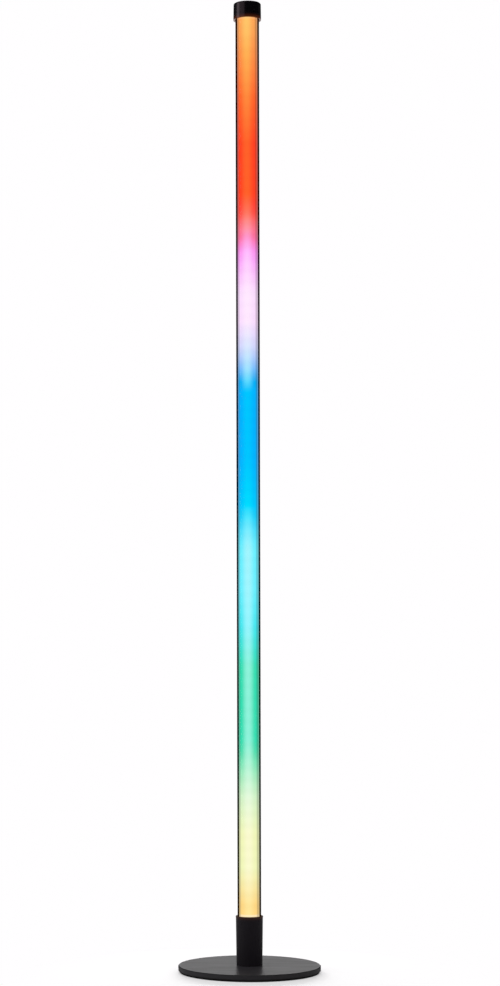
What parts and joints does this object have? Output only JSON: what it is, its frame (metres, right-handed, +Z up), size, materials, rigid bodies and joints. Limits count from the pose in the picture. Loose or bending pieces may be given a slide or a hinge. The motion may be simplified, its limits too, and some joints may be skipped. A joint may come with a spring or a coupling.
{
  "type": "floor lamp",
  "caption": "Slim round corner floor lamp: a glowing column in a clear tube under a black cap, in a drafted black socket on a thin round steel base.",
  "frame": {"origin": "on the floor, under the middle of the round base", "axes": "+Z up along the column; the front, seen in the picture, faces -Y; the power inlet and the button face +Y"},
  "size_m": [0.206, 0.206, 1.4],
  "materials": {
    "plate_coat": "satin black powder coat on steel",
    "foam": "matt black foam rubber sheet",
    "screw_steel": "zinc-plated steel",
    "fibre_sheet": "insulating fibre sheet",
    "socket_plastic": "fine-textured moulded black plastic",
    "insert_brass": "turned brass",
    "plug_plastic": "white moulded plastic",
    "gasket_rubber": "grey sponge rubber",
    "clear_tube": "clear extruded acrylic, glossy",
    "diffuser": "opal diffuser, lit from inside by a colour gradient",
    "carrier_aluminium": "extruded, natural",
    "strip_board": "white flexible circuit",
    "led_package": "white housing with a yellowish lens",
    "cap_plastic": "polished moulded black plastic",
    "circuit_board": "green solder mask",
    "module_shield": "tinned shield can",
    "chip_epoxy": "black moulded epoxy",
    "capacitor_can": "sleeved can",
    "choke_ferrite": "ferrite",
    "connector_plastic": "ivory connector housing",
    "lead_insulation": "insulated stranded lead",
    "inlet_plastic": "black moulded inlet",
    "inlet_metal": "nickel-plated pin",
    "switch_plastic": "switch housing",
    "button_plastic": "polished push button"
  },
  "bodies": {
    "lamp": {"base_plate": "plate_coat", "base_pad": "foam", "base_screws": "screw_steel", "insulator_sheet": "fibre_sheet", "socket": "socket_plastic", "socket_inserts": "insert_brass", "column_screws": "screw_steel", "lower_plug": "plug_plastic", "lower_gasket": "gasket_rubber", "outer_tube": "clear_tube", "diffuser_tube": "diffuser", "led_carrier": "carrier_aluminium", "led_strip_front": "strip_board", "led_strip_back": "strip_board", "led_chips_front": "led_package", "led_chips_back": "led_package", "upper_gasket": "gasket_rubber", "upper_plug": "plug_plastic", "top_cap": "cap_plastic", "control_board": "circuit_board", "radio_module": "module_shield", "driver_chip": "chip_epoxy", "storage_capacitor": "capacitor_can", "power_choke": "choke_ferrite", "lead_connector": "connector_plastic", "strip_leads_front": "lead_insulation", "strip_leads_back": "lead_insulation", "power_inlet": "inlet_plastic", "inlet_pin": "inlet_metal", "button_switch": "switch_plastic"},
    "button": {"power_button": "button_plastic", "switch_plunger": "switch_plastic"}
  },
  "joints": [
    {"name": "button_press", "type": "slide", "parent": "lamp", "child": "button", "axis": [0, -1, 0], "range_m": [0, 0.0008], "stiffness_N_per_m": 400}
  ]
}
